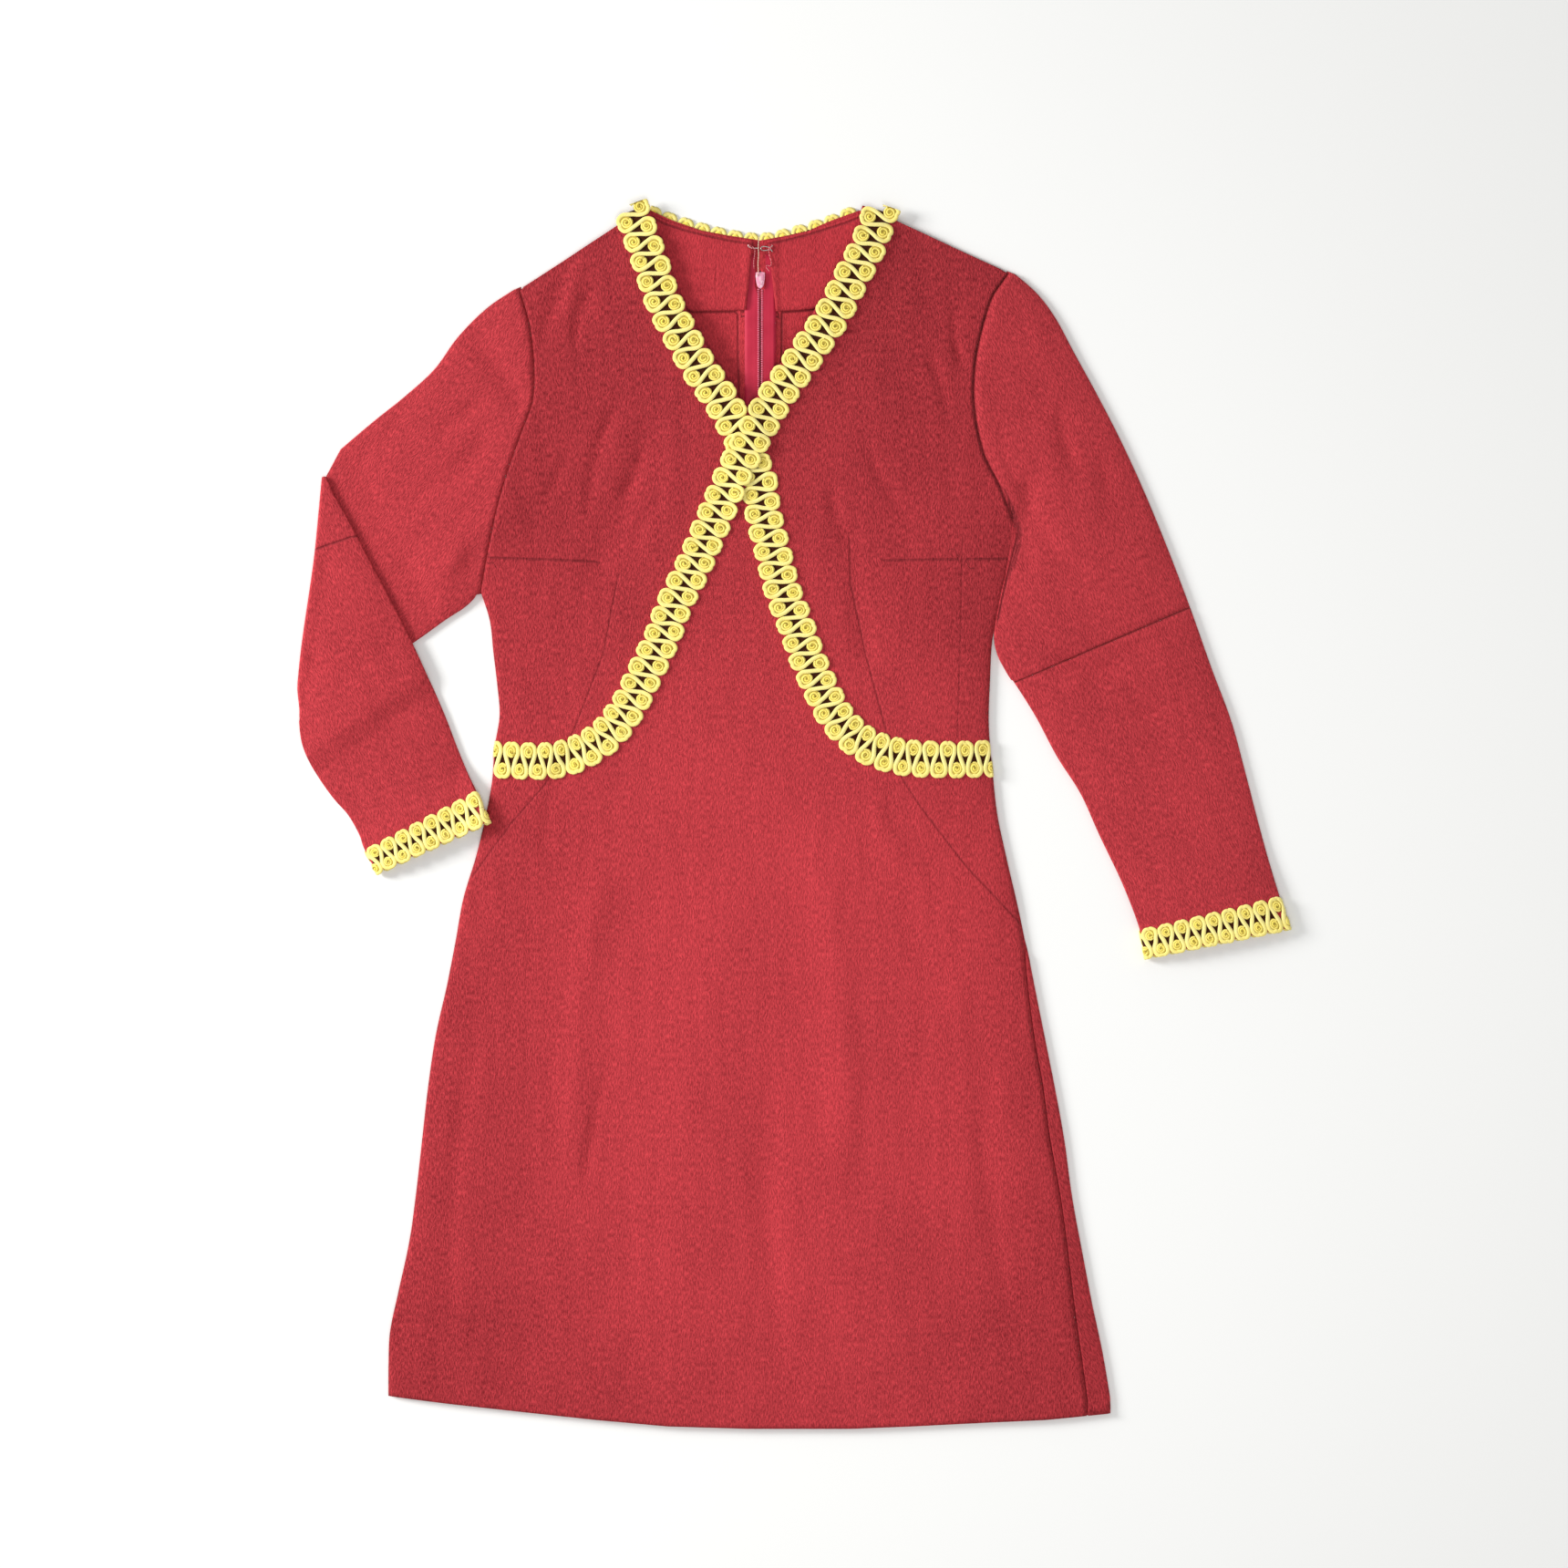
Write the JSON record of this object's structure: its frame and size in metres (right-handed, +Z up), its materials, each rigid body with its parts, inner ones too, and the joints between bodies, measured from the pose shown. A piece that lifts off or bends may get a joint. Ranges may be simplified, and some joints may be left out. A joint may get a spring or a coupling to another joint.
{
  "type": "long-sleeved braid-trimmed dress",
  "caption": "A-line dress with a V neck, long sleeves, scroll braid that crosses on the chest and braided cuffs, laid flat on its back with one sleeve folded over.",
  "frame": {"origin": "centre of the dress's bounding box, on the surface that the dress lies on", "axes": "+Y from the hem towards the neck, +X to the viewer's right when the dress is seen from above, +Z up out of the front of the dress"},
  "size_m": [0.7958, 0.9784, 0.0153],
  "materials": {
    "crepe": "matt puckered double-knit crepe, crimson",
    "crepe_inside": "smoother wrong side of the crepe",
    "braid": "soft yellow scroll braid",
    "zip_tape": "plain woven tape",
    "enamel": "glossy pink enamel",
    "steel": "dull steel wire"
  },
  "bodies": {
    "dress": {"front": "crepe", "back_left": "crepe", "back_right": "crepe", "straight_sleeve_upper": "crepe", "straight_sleeve_lower": "crepe", "folded_sleeve_upper": "crepe", "folded_sleeve_lower": "crepe", "zip_tape_left": "zip_tape", "zip_tape_right": "zip_tape", "zip_coil": "zip_tape", "facing_left": "crepe_inside", "facing_right": "crepe_inside", "zip_slider": "enamel", "hook": "steel", "eye": "steel", "braid_from_left_shoulder": "braid", "braid_from_right_shoulder": "braid", "back_neck_braid": "braid", "cuff_braid_straight": "braid", "cuff_braid_folded": "braid"},
    "pull": {"zip_pull": "enamel"}
  },
  "joints": [
    {"name": "pull_swing", "type": "hinge", "parent": "dress", "child": "pull", "pos_m": [-0.02758, 0.43209, 0.0007], "axis": [1, 0, 0], "range_deg": [0, 140]}
  ]
}
